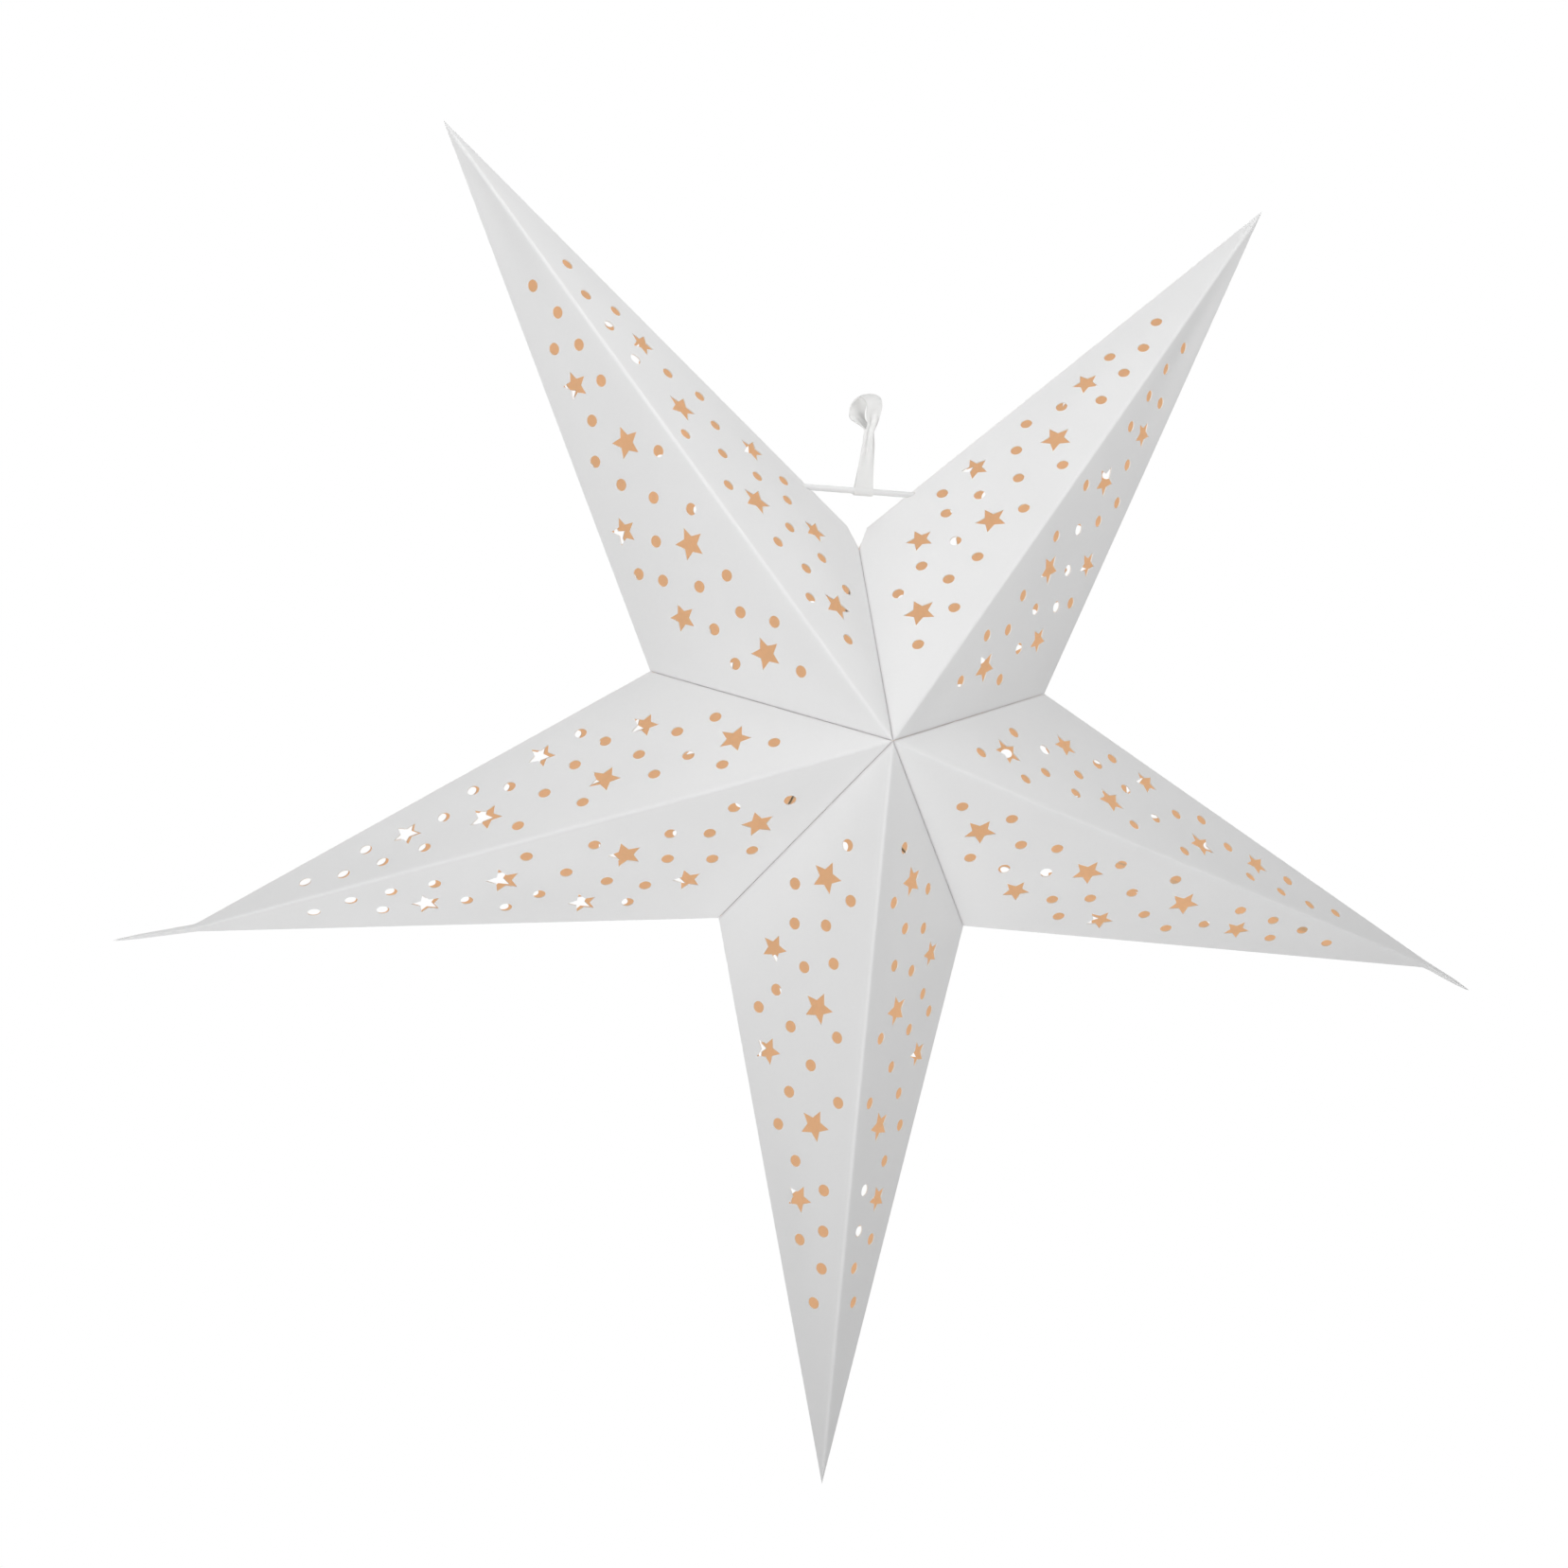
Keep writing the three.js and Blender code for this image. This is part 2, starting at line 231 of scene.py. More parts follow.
def tan_card_material():
    """Unbleached paperboard back, uncoated: a warm tan, flat and soft. Its face gives off a little painted
    light, which stands in for daylight that comes through the card and fills the hollow star evenly."""
    material, tree = new_material("unbleached_paperboard_uncoated")
    tan = shaded(colours().inside)
    place = add_node(tree, "ShaderNodeTexCoord").outputs["Object"]
    fibre = add_node(tree, "ShaderNodeTexNoise", links={"Vector": place}, Scale=1 / BACK_FIBRE, Detail=5.0)
    ramp = add_node(tree, "ShaderNodeValToRGB", links={"Fac": fibre.outputs[0]})
    ramp.color_ramp.elements[0].position = 0.3
    ramp.color_ramp.elements[0].color = shaded(tan, 0.94)
    ramp.color_ramp.elements[1].position = 0.7
    ramp.color_ramp.elements[1].color = tan
    bump = add_node(tree, "ShaderNodeBump", links={"Height": fibre.outputs[0]}, Strength=0.2,
                    Distance=0.2 * MM)
    shader = add_node(tree, "ShaderNodeBsdfPrincipled",
                      links={"Base Color": ramp.outputs[0], "Normal": bump.outputs[0]},
                      Roughness=0.9, Specular_IOR_Level=0.2,
                      Emission_Color=hex_colour("#EEF4CE"), Emission_Strength=CARD_GLOW)
    finish_material(tree, shader)
    return material


def tape_material():
    """Cotton twill tape, woven: soft and matt, with fine ribs along it. The weave is read from the
    strip's own map, which runs across and along the tape. It gives off a little painted light of its own
    colour, which stands in for daylight through the thin cotton."""
    material, tree = new_material("cotton_tape_woven")
    cotton = shaded(colours().tape)
    strip = add_node(tree, "ShaderNodeUVMap", {"uv_map": "strip"}).outputs[0]
    ribs = add_node(tree, "ShaderNodeTexWave", {"wave_type": "BANDS", "bands_direction": "X"},
                    {"Vector": strip}, Scale=WAVE_REPEAT / RIB_PITCH, Distortion=0.4)
    picks = add_node(tree, "ShaderNodeTexWave", {"wave_type": "BANDS", "bands_direction": "Y"},
                     {"Vector": strip}, Scale=WAVE_REPEAT / PICK_PITCH, Distortion=0.4)
    weave = add_node(tree, "ShaderNodeMath", {"operation": "MULTIPLY"},
                     {0: ribs.outputs[1], 1: picks.outputs[1]})
    ramp = add_node(tree, "ShaderNodeValToRGB", links={"Fac": weave.outputs[0]})
    ramp.color_ramp.elements[0].color = shaded(cotton, 0.97)
    ramp.color_ramp.elements[1].position = 0.6
    ramp.color_ramp.elements[1].color = cotton
    bump = add_node(tree, "ShaderNodeBump", links={"Height": weave.outputs[0]}, Strength=0.06,
                    Distance=0.1 * MM)
    shader = add_node(tree, "ShaderNodeBsdfPrincipled",
                      links={"Base Color": ramp.outputs[0], "Normal": bump.outputs[0]},
                      Roughness=0.92, Sheen_Weight=0.15,
                      Emission_Color=cotton, Emission_Strength=TAPE_GLOW)
    finish_material(tree, shader)
    return material


def rod_material():
    """Polypropylene tube, extruded: milky, half matt, with faint draw lines along it. It gives off a little
    painted light of its own colour, which stands in for daylight through the thin wall."""
    material, tree = new_material("polypropylene_tube_extruded")
    plastic = shaded(colours().rod)
    place = add_node(tree, "ShaderNodeTexCoord").outputs["Object"]
    drawn_out = add_node(tree, "ShaderNodeMapping", links={"Vector": place},
                         Scale=(1 / LINE_LENGTH, 1 / LINE_WIDTH, 1 / LINE_WIDTH))
    lines = add_node(tree, "ShaderNodeTexNoise", links={"Vector": drawn_out.outputs[0]}, Scale=1.0,
                     Detail=2.0)
    ramp = add_node(tree, "ShaderNodeValToRGB", links={"Fac": lines.outputs[0]})
    ramp.color_ramp.elements[0].color = shaded(plastic, 0.93)
    ramp.color_ramp.elements[1].color = plastic
    bump = add_node(tree, "ShaderNodeBump", links={"Height": lines.outputs[0]}, Strength=0.1,
                    Distance=0.1 * MM)
    shader = add_node(tree, "ShaderNodeBsdfPrincipled",
                      links={"Base Color": ramp.outputs[0], "Normal": bump.outputs[0]},
                      Roughness=0.42, IOR=1.49,
                      Emission_Color=plastic, Emission_Strength=ROD_GLOW)
    finish_material(tree, shader)
    return material


made_materials = {}


def material_named(maker):
    """Makes each material once, and hands out the same one after that."""
    if maker not in made_materials:
        made_materials[maker] = maker()
    return made_materials[maker]


def give_card(piece):
    """Gives a piece the card's two finishes: its outer face's first, and its inner face's second."""
    for maker in (white_card_material, tan_card_material):
        piece.data.materials.append(material_named(maker))


def deselect_all():
    for thing in bpy.context.selected_objects:
        thing.select_set(False)


def make_active(thing):
    deselect_all()
    thing.select_set(True)
    bpy.context.view_layer.objects.active = thing


def new_primitive(add, **settings):
    """Adds a primitive round the origin, with nothing else selected."""
    deselect_all()
    add(location=(0, 0, 0), **settings)
    return bpy.context.object


@contextmanager
def editing(thing):
    """Edit mode on one thing, with the whole of its mesh selected."""
    make_active(thing)
    bpy.ops.object.mode_set(mode="EDIT")
    bpy.ops.mesh.select_all(action="SELECT")
    yield
    bpy.ops.object.mode_set(mode="OBJECT")


def select_where(thing, test, kind="FACE"):
    """In edit mode, selects the faces or the vertices that the test picks, and nothing else."""
    bpy.context.tool_settings.mesh_select_mode = (kind == "VERT", False, kind == "FACE")
    mesh = bmesh.from_edit_mesh(thing.data)
    for element in [*mesh.faces, *mesh.edges, *mesh.verts]:
        element.select_set(False)
    for element in mesh.faces if kind == "FACE" else mesh.verts:
        if test(element):
            element.select_set(True)
    mesh.select_flush_mode()
    bmesh.update_edit_mesh(thing.data)


def copy_of(thing):
    copy = thing.copy()
    copy.data = thing.data.copy()
    bpy.context.collection.objects.link(copy)
    return copy


def join_all(things):
    make_active(things[0])
    for thing in things[1:]:
        thing.select_set(True)
    bpy.ops.object.join()
    return things[0]


def delete_things(*things):
    for thing in things:
        bpy.data.objects.remove(thing)


def apply_modifier(thing, kind, **settings):
    make_active(thing)
    modifier = thing.modifiers.new(kind.lower(), kind)
    for name, value in settings.items():
        setattr(modifier, name, value)
    bpy.ops.object.modifier_apply(modifier=modifier.name)


def cut_out(thing, cutter):
    """Cuts one thing's shape out of another, and deletes the cutter."""
    apply_modifier(thing, "BOOLEAN", operation="DIFFERENCE", solver="EXACT", object=cutter)
    delete_things(cutter)


def soften_edges(thing, width, segments):
    apply_modifier(thing, "BEVEL", width=width, segments=segments, limit_method="ANGLE",
                   angle_limit=radians(50))


def shade_smooth(thing, degrees):
    make_active(thing)
    bpy.ops.object.shade_smooth_by_angle(angle=radians(degrees))


def mirror_mesh(thing, x, y):
    thing.data.transform(Matrix.Diagonal((x, y, 1, 1)))
    if x * y < 0:
        thing.data.flip_normals()


# How near to its plane a cut takes a vertex to lie on it.
CUT_REACH = 0.002 * MM


def score(thing, place, normal, **settings):
    """Cuts the faces along a plane, and keeps both sides unless the settings say otherwise."""
    with editing(thing):
        bpy.ops.mesh.bisect(plane_co=place, plane_no=normal, threshold=CUT_REACH, **settings)


def trim(thing, place, normal, fill=True):
    """Cuts away what lies on the side that the normal points to."""
    score(thing, place, normal, use_fill=fill, clear_outer=True)


class RayPlanes:
    """An upright ray's own frame: x across it, y into the star, z out along it. Holds the right front
    panel's corners and directions, and the planes in which its edges lie."""

    def __init__(self):
        size = sizes()
        self.apex = Vector((0, -size.half_depth, 0))
        self.tip = Vector((0, 0, size.ray_reach))
        self.corner = size.corner_reach * Vector((sin(HALF_SECTOR), 0, cos(HALF_SECTOR)))
        self.normal = (self.corner - self.apex).cross(self.tip - self.apex).normalized()
        self.along = (self.apex - self.tip).normalized()
        self.across = self.normal.cross(self.along)
        self.ridge_length = (self.apex - self.tip).length
        self.corner_along = (self.corner - self.tip).dot(self.along)
        self.corner_across = (self.corner - self.tip).dot(self.across)
        self.valley_normal = Vector((cos(HALF_SECTOR), 0, -sin(HALF_SECTOR)))
        self.to_ray = Matrix.Translation(self.tip) @ Matrix(
            (self.along, self.across, self.normal)).transposed().to_4x4()

    def width_at(self, reach):
        """The panel's width across the ridge, at a reach along it from the tip."""
        left = (self.ridge_length - reach) / (self.ridge_length - self.corner_along)
        return self.corner_across * max(0.0, min(reach / self.corner_along, left))

    def notch_plane(self, scale):
        """A point and the normal of the plane that cuts the notch, at a scale of its stated size."""
        size = sizes()
        fold_share = scale * size.notch_width / (size.ray_reach * sin(HALF_SECTOR))
        fold_point = self.corner.lerp(self.tip, fold_share)
        valley_point = self.corner.lerp(self.apex, scale * size.notch_depth / size.corner_reach)
        return fold_point, (valley_point - fold_point).cross(self.normal).normalized()


# The cutters' height, and how far a star's inner corners lie from its middle against its points.
PUNCH_HEIGHT = 4 * MM
STAR_WAIST = 0.48


def add_star_punch(radius):
    """A five-pointed cutter with one point towards the ridge."""
    punch = new_primitive(bpy.ops.mesh.primitive_circle_add, vertices=10, radius=radius, fill_type="NGON")
    for vertex in list(punch.data.vertices)[1::2]:
        vertex.co *= STAR_WAIST
    punch.data.transform(Matrix.Rotation(pi, 4, "Z"))
    return raise_punch(punch)


def add_dot_punch(radius):
    punch = new_primitive(bpy.ops.mesh.primitive_circle_add, vertices=24, radius=radius, fill_type="NGON")
    return raise_punch(punch)


def raise_punch(punch):
    with editing(punch):
        bpy.ops.mesh.extrude_region_move(TRANSFORM_OT_translate={"value": (0, 0, PUNCH_HEIGHT)})
        bpy.ops.mesh.select_all(action="SELECT")
        bpy.ops.mesh.normals_make_consistent(inside=False)
    punch.data.transform(Matrix.Translation((0, 0, -PUNCH_HEIGHT / 2)))
    return punch


def add_punches(planes):
    """Every cutter of a panel's pattern, joined into one."""
    size = sizes()
    kinds = [
        (add_star_punch(size.large_star), LARGE_STAR_SHARES),
        (add_star_punch(size.small_star), SMALL_STAR_SHARES),
        (add_dot_punch(size.dot), DOT_SHARES),
    ]
    punches = []
    for model, shares in kinds:
        for along_share, across_share in shares:
            reach = along_share * planes.ridge_length
            punch = copy_of(model)
            punch.data.transform(Matrix.Translation((reach, across_share * planes.width_at(reach), 0)))
            punches.append(punch)
    delete_things(*[model for model, _ in kinds])
    return join_all(punches)


# How many cells a panel's card is divided into along its ridge and across it.
CARD_COLUMNS, CARD_ROWS = 102, 24


def add_punched_blank(planes):
    """Card one cell larger than a panel all round, flat, with the panel's pattern cut out. Its own x runs
    along the ridge from the tip, its y across the panel, and its outer face lies at height 0."""
    columns, rows = CARD_COLUMNS + 2, CARD_ROWS + 2
    blank = new_primitive(bpy.ops.mesh.primitive_grid_add, x_subdivisions=columns, y_subdivisions=rows,
                          size=1)
    length = planes.ridge_length * columns / CARD_COLUMNS
    width = planes.corner_across * rows / CARD_ROWS
    blank.data.transform(Matrix.Translation((planes.ridge_length / 2, planes.corner_across / 2, 0))
                         @ Matrix.Diagonal((length, width, 1, 1)))
    apply_modifier(blank, "SOLIDIFY", thickness=sizes().card_thickness, offset=-1)
    cut_out(blank, add_punches(planes))
    return blank


# The seed of a panel's bow: so much for each ray, and so much more for its face. A panel narrower than the
# fade bows less.
BOW_SEEDS = {"front": (3.1, 0), "back": (1.9, 5)}
BOW_FADE = 40 * MM


def bow_panel(blank, planes, seed, bow):
    """Bows the card a little out of its plane, by nothing at its creases, as no two panels lie alike. It
    rolls to one side, and in two slow waves along the ridge."""
    for vertex in blank.data.vertices:
        along, across = vertex.co.x, vertex.co.y
        width = planes.width_at(along)
        if not 0 < across < width:
            continue
        span = along / planes.ridge_length
        waves = sin(2.1 * pi * span + 1.7 * seed) + 0.55 * sin(5.3 * pi * span + 2.9 * seed)
        roll = 0.8 * sin(1.3 * seed) + 0.7 * waves
        room = min(1.0, width / BOW_FADE)
        vertex.co.z += bow * room * roll * sin(pi * across / width) ** 2


# How much of a narrow panel's width its ridge's rounding may take, and in how many strips it bends.
ROUNDED_SHARE = 0.45
ROUNDED_STRIPS = 3


def round_ridge(panel, planes):
    """Rounds a panel's card towards its ridge, so that it meets the other panel's in one soft crease."""
    reach = sizes().crease_round
    for step in range(1, ROUNDED_STRIPS + 1):
        score(panel, (reach * step / ROUNDED_STRIPS, 0, 0), (1, 0, 0))
    inward = Vector((0, -planes.along.z, planes.along.y))
    slope = planes.normal.x / math.hypot(planes.normal.y, planes.normal.z)
    for vertex in panel.data.vertices:
        width = planes.width_at((vertex.co - planes.tip).dot(planes.along))
        room = min(reach, ROUNDED_SHARE * width * planes.across.x)
        if vertex.co.x < room:
            vertex.co += inward * slope * (room - vertex.co.x) ** 2 / (2 * room)


# How far the card's edge turns in at a valley, in millimetres, and how far from the valley it starts to.
# Painted shade darkens the card over a wider strip.
VALLEY_TURN = 0.1
VALLEY_TURN_REACH = 0.12 * MM
PAINTED_SHADE_REACH = 0.9 * MM

# How near a vertex lies to a plane to count as one on the valley, or as one of the card's outer face.
ON_VALLEY, ON_FACE = 0.01 * MM, 0.05 * MM


def turn_in_valley(panel, planes, valley):
    """Turns a panel's outer edge in a little at the valley, where the card folds in to its lap."""
    for away in (VALLEY_TURN_REACH, PAINTED_SHADE_REACH):
        score(panel, planes.valley_normal * -away + valley, planes.valley_normal)
    for vertex in panel.data.vertices:
        at_valley = abs((vertex.co - valley).dot(planes.valley_normal)) < ON_VALLEY
        if at_valley and abs((vertex.co - planes.apex).dot(planes.normal)) < ON_FACE:
            vertex.co -= planes.normal * VALLEY_TURN * MM


# How much of the card is cut off at the apex, and how large the notch at the top seam is cut, against its
# stated size: wider behind than in front.
APEX_CUT = 0.1 * MM
NOTCH_SCALES = {"front": 1.0, "back": 1.5}


def cut_panel(blank, planes, ray, face, side, ridge_filled):
    """One panel in its ray's frame. The punched blank is bowed and cut to the panel's creases, notched
    where the ray borders the open seam, rounded, and mirrored from the right front to its place."""
    size = sizes()
    sign = SIDE_SIGNS[side]
    ray_seed, face_seed = BOW_SEEDS[face]
    bow = size.bow if face == "front" else size.back_bow
    panel = copy_of(blank)
    bow_panel(panel, planes, ray_seed * ray + face_seed + sign, bow)
    panel.data.transform(planes.to_ray)
    valley = planes.valley_normal * -size.seam_gap
    trim(panel, valley, planes.valley_normal)
    trim(panel, (0, 0, 0), (0, 1, 0))
    trim(panel, (0, 0, APEX_CUT), (0, 0, -1))
    turn_in_valley(panel, planes, valley)
    if sign == seam_side(ray):
        place, normal = planes.notch_plane(NOTCH_SCALES[face])
        trim(panel, place, normal if (planes.corner - place).dot(normal) > 0 else -normal)
    trim(panel, (0, 0, 0), (-1, 0, 0), fill=ridge_filled)
    round_ridge(panel, planes)
    mirror_mesh(panel, sign, FACE_SIGNS[face])
    return panel


def seam_side(ray):
    """The sign of the side on which a ray borders the open seam at the top, or 0."""
    return {0: 1, len(RAY_NAMES) - 1: -1}.get(ray, 0)


# How much longer than the rod the cutter of its holes is.
HOLE_MARGIN = 4 * MM


def cut_rod_hole(sheet, sign):
    """Cuts the hole that the rod goes through, on one side of a ray, in the ray's own frame."""
    size = sizes()
    hole = new_primitive(bpy.ops.mesh.primitive_cylinder_add, vertices=32,
                         radius=size.rod_radius + size.rod_play, depth=size.rod_length + HOLE_MARGIN)
    upright = Matrix.Translation((0, 0, size.rod_height)) @ Matrix.Rotation(pi / 2, 4, "Y")
    hole.data.transform(Matrix.Rotation(sign * HALF_SECTOR, 4, "Y") @ upright)
    cut_out(sheet, hole)


# The drawn-out tips of the left and the right ray: where the card's edges meet, from the tip, half the
# tail's width there and near its end, and how far the ray leans across itself there and at its tip.
TAILS = {
    "left": (31 * MM, 1.5 * MM, 0.6 * MM, 1.6 * MM, 5.5 * MM),
    "right": (24 * MM, 1.5 * MM, 0.8 * MM, -3.7 * MM, 0.0),
}

# At its very end a tail has a share of its width, which grows to the whole over part of the taper. No point
# counts as nearer to the tip than the last value.
END_SHARE = 0.35
END_TAPER = 12 * MM
NEAREST_TO_TIP = 0.2 * MM


def pinch_tip(thing, ray_name):
    """Draws the left or the right ray in, so that its edges meet short of the tip, in a thin tail."""
    if ray_name not in TAILS:
        return
    size = sizes()
    tail_reach, start_half, end_half, start_lean, tip_lean = TAILS[ray_name]
    corner_out = size.ray_reach - size.corner_reach * cos(HALF_SECTOR)
    corner_half = size.corner_reach * sin(HALF_SECTOR)
    for vertex in thing.data.vertices:
        out = max(NEAREST_TO_TIP, size.ray_reach - vertex.co.z)
        if out > corner_out:
            continue
        plain = corner_half * out / corner_out
        drawn = start_half + (corner_half - start_half) * (out - tail_reach) / (corner_out - tail_reach)
        share = min(1.0, out / tail_reach)
        tail_half = end_half + (start_half - end_half) * share
        drawn = max(drawn, min(plain, tail_half * min(1.0, END_SHARE + out / END_TAPER)))
        vertex.co.x *= drawn / plain
        vertex.co.y *= drawn / plain
        settled = (corner_out - max(out, tail_reach)) / (corner_out - tail_reach)
        vertex.co.x += tip_lean * (1 - share) + start_lean * share * settled


def place_in_star(ray):
    """From a ray's upright frame to its place in the hanging star."""
    turn = Matrix.Rotation(-(ray + 0.5) * SECTOR, 4, "Y")
    return Matrix.Translation((0, 0, -sizes().hanging_drop)) @ turn


# How squarely a face points in a direction to count as facing it, where 1 is exactly: on a lap or a tube's
# end, and on a bowed sheet.
FACING, FACING_BOWED = 0.9, 0.8


def mark_painted_crease_shade(sheet, planes):
    """Writes how near each vertex is to the valley edges, where the card's material paints a little shade.
    """
    values = []
    for vertex in sheet.data.vertices:
        folded = Vector((abs(vertex.co.x), -abs(vertex.co.y), vertex.co.z))
        away = -folded.dot(planes.valley_normal)
        values.append(max(0.0, 1.0 - away / PAINTED_SHADE_REACH))
    attribute = sheet.data.attributes.new("painted_crease_shade", "FLOAT", "POINT")
    attribute.data.foreach_set("value", values)


def dress_sheet(sheet, name, planes):
    """Gives a finished sheet its name, its two faces and its smooth shading."""
    mark_painted_crease_shade(sheet, planes)
    sheet.name = name
    sheet.data.name = name
    sheet.data.materials.clear()
    give_card(sheet)
    normal = planes.normal
    for polygon in sheet.data.polygons:
        middle = polygon.center
        outward = Vector((math.copysign(normal.x, middle.x), math.copysign(normal.y, middle.y), normal.z))
        polygon.material_index = 1 if polygon.normal.dot(outward) < -FACING_BOWED else 0
    shade_smooth(sheet, 35)


# How near to the ridge a vertex counts as on it, and how near such vertices merge.
ON_RIDGE = 0.02 * MM
RIDGE_MERGE = 0.2 * MM


def front_sheet(blank, planes, ray):
    """One ray's two front panels as one card, rounded over its ridge."""
    sheet = join_all([cut_panel(blank, planes, ray, "front", side, False) for side in SIDE_SIGNS])
    with editing(sheet):
        select_where(sheet, lambda vertex: abs(vertex.co.x) < ON_RIDGE, "VERT")
        bpy.ops.mesh.remove_doubles(threshold=RIDGE_MERGE)
    if seam_side(ray):
        cut_rod_hole(sheet, seam_side(ray))
    return sheet


class STAR_OT_ray_sheets(bpy.types.Operator):
    """Punch and fold the five rays' card sheets"""
    bl_idname = "paper_star.ray_sheets"
    bl_label = "Fold the ray sheets"

    def execute(self, context):
        planes = RayPlanes()
        blank = add_punched_blank(planes)
        for ray, ray_name in enumerate(RAY_NAMES):
            if ray_name in TAILS:
                single_faces = ["front", "back"]
            else:
                self.fold_front(blank, planes, ray)
                single_faces = ["back"]
            for face in single_faces:
                for side in SIDE_SIGNS:
                    self.fold_half(blank, planes, ray, face, side)
        delete_things(blank)
        return {"FINISHED"}

    def fold_front(self, blank, planes, ray):
        """A front sheet in one piece, set in its place in the star in the stead of its two panels."""
        place = place_in_star(ray)
        sheet = front_sheet(blank, planes, ray)
        dress_sheet(sheet, f"{RAY_NAMES[ray]}_ray_front_sheet", planes)
        sheet.data.transform(place)
        right, left = (f"{RAY_NAMES[ray]}_ray_front_{side}_panel" for side in SIDE_SIGNS)
        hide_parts(right, left)
        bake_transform(sheet)

    def fold_half(self, blank, planes, ray, face, side):
        """The sheet of one panel, which rides on it. A drawn-out ray's sheets lie inside the panels that
        they ride on."""
        ray_name = RAY_NAMES[ray]
        sign = SIDE_SIGNS[side]
        place = place_in_star(ray)
        half = cut_panel(blank, planes, ray, face, side, True)
        if sign == seam_side(ray):
            cut_rod_hole(half, sign)
        pinch_tip(half, ray_name)
        dress_sheet(half, f"{ray_name}_ray_{face}_{side}_sheet", planes)
        half.data.transform(place)
        node = f"{ray_name}_ray_{face}_{side}_panel"
        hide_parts(node)
        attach(half, node)
        if ray_name in TAILS:
            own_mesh(half)


# A lap's card along its valley: how deep under the valley its folded edge lies, where it starts, out from
# the star's axis, and how far short of the corner or of the notch it ends.
LAP_SET_BACK = 0.45 * MM
LAP_START = 0.4 * MM
SHORT_OF_CORNER = 1.5 * MM
SHORT_OF_NOTCH = 2 * MM

# How much shorter its free edge is: at the apex end in lap widths, and at the corner end.
APEX_SLANT = 1.6
CORNER_SLANT = 11 * MM

# Half the gap between the two cards of a seam, and how far a card's free edge splays. A lap's cut edges are
# a little soft.
GLUED_GAP, GLUED_SPLAY = 0.01 * MM, 0.35 * MM
OPEN_GAP, OPEN_SPLAY = 0.12 * MM, 0.5 * MM
LAP_ROUND = 0.06 * MM


def lap_card(end, sign, gap, splay):
    """One card's lap along the front valley, in the upright plane between two rays: x out from the star's
    axis, y into the star, and z across the card. The sign says on which side of the plane it lies."""
    size = sizes()
    valley = Vector((size.corner_reach, size.half_depth)).normalized()
    inward = Vector((-valley.y, valley.x))
    free_depth = LAP_SET_BACK + size.lap_width
    corners = [(LAP_START, LAP_SET_BACK), (end, LAP_SET_BACK),
               (LAP_START + APEX_SLANT * size.lap_width, free_depth), (end - CORNER_SLANT, free_depth)]
    lap = new_primitive(bpy.ops.mesh.primitive_plane_add, size=1)
    for vertex, (reach, depth) in zip(lap.data.vertices, corners):
        spot = Vector((0, -size.half_depth)) + valley * (reach / valley.x) + inward * depth
        vertex.co = (spot.x, spot.y, sign * (gap + splay * depth / size.lap_width))
    with editing(lap):
        bpy.ops.mesh.subdivide(number_cuts=5)
    facing = 1 if lap.data.polygons[0].normal.z * sign > 0 else -1
    apply_modifier(lap, "SOLIDIFY", thickness=size.card_thickness, offset=facing)
    soften_edges(lap, LAP_ROUND, 1)
    return lap


def finish_lap(lap, name, node, face, turn):
    """Sets a lap in the star. The card's inner face is the one that points away from the other lap."""
    lap.name = name
    give_card(lap)
    for polygon in lap.data.polygons:
        points_away = (polygon.center.z > 0) == (polygon.normal.z > 0)
        polygon.material_index = 1 if abs(polygon.normal.z) > FACING and points_away else 0
    mirror_mesh(lap, 1, FACE_SIGNS[face])
    lap.data.transform(Matrix.Translation((0, 0, -sizes().hanging_drop)) @ Matrix.Rotation(turn, 4, "Y"))
    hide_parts(node)
    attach(lap, node)


class STAR_OT_glue_laps(bpy.types.Operator):
    """Cut the glue laps that stand inside the valleys"""
    bl_idname = "paper_star.glue_laps"
    bl_label = "Cut the glue laps"

    def execute(self, context):
        size = sizes()
        end = size.corner_reach - SHORT_OF_CORNER
        for seam in range(1, len(RAY_NAMES)):
            for face in FACE_SIGNS:
                node = f"glued_lap_{RAY_NAMES[seam - 1]}_to_{RAY_NAMES[seam]}_{face}"
                pair = [lap_card(end, sign, GLUED_GAP, GLUED_SPLAY) for sign in (1, -1)]
                finish_lap(join_all(pair), f"{node}_cards", node, face, -seam * SECTOR - pi / 2)
        end = size.corner_reach - size.notch_depth - SHORT_OF_NOTCH
        for ray_name, sign in ((RAY_NAMES[0], 1), (RAY_NAMES[-1], -1)):
            for face in FACE_SIGNS:
                node = f"open_lap_{ray_name}_{face}"
                lap = lap_card(end, sign, OPEN_GAP, OPEN_SPLAY)
                finish_lap(lap, f"{node}_card", node, face, -pi / 2)
        return {"FINISHED"}


# The rod's tube: its wall, how deep its hollow ends are made, and the rounding of their rims.
TUBE_WALL = 0.45 * MM
TUBE_HOLLOW = 14 * MM
RIM_ROUND = 0.12 * MM


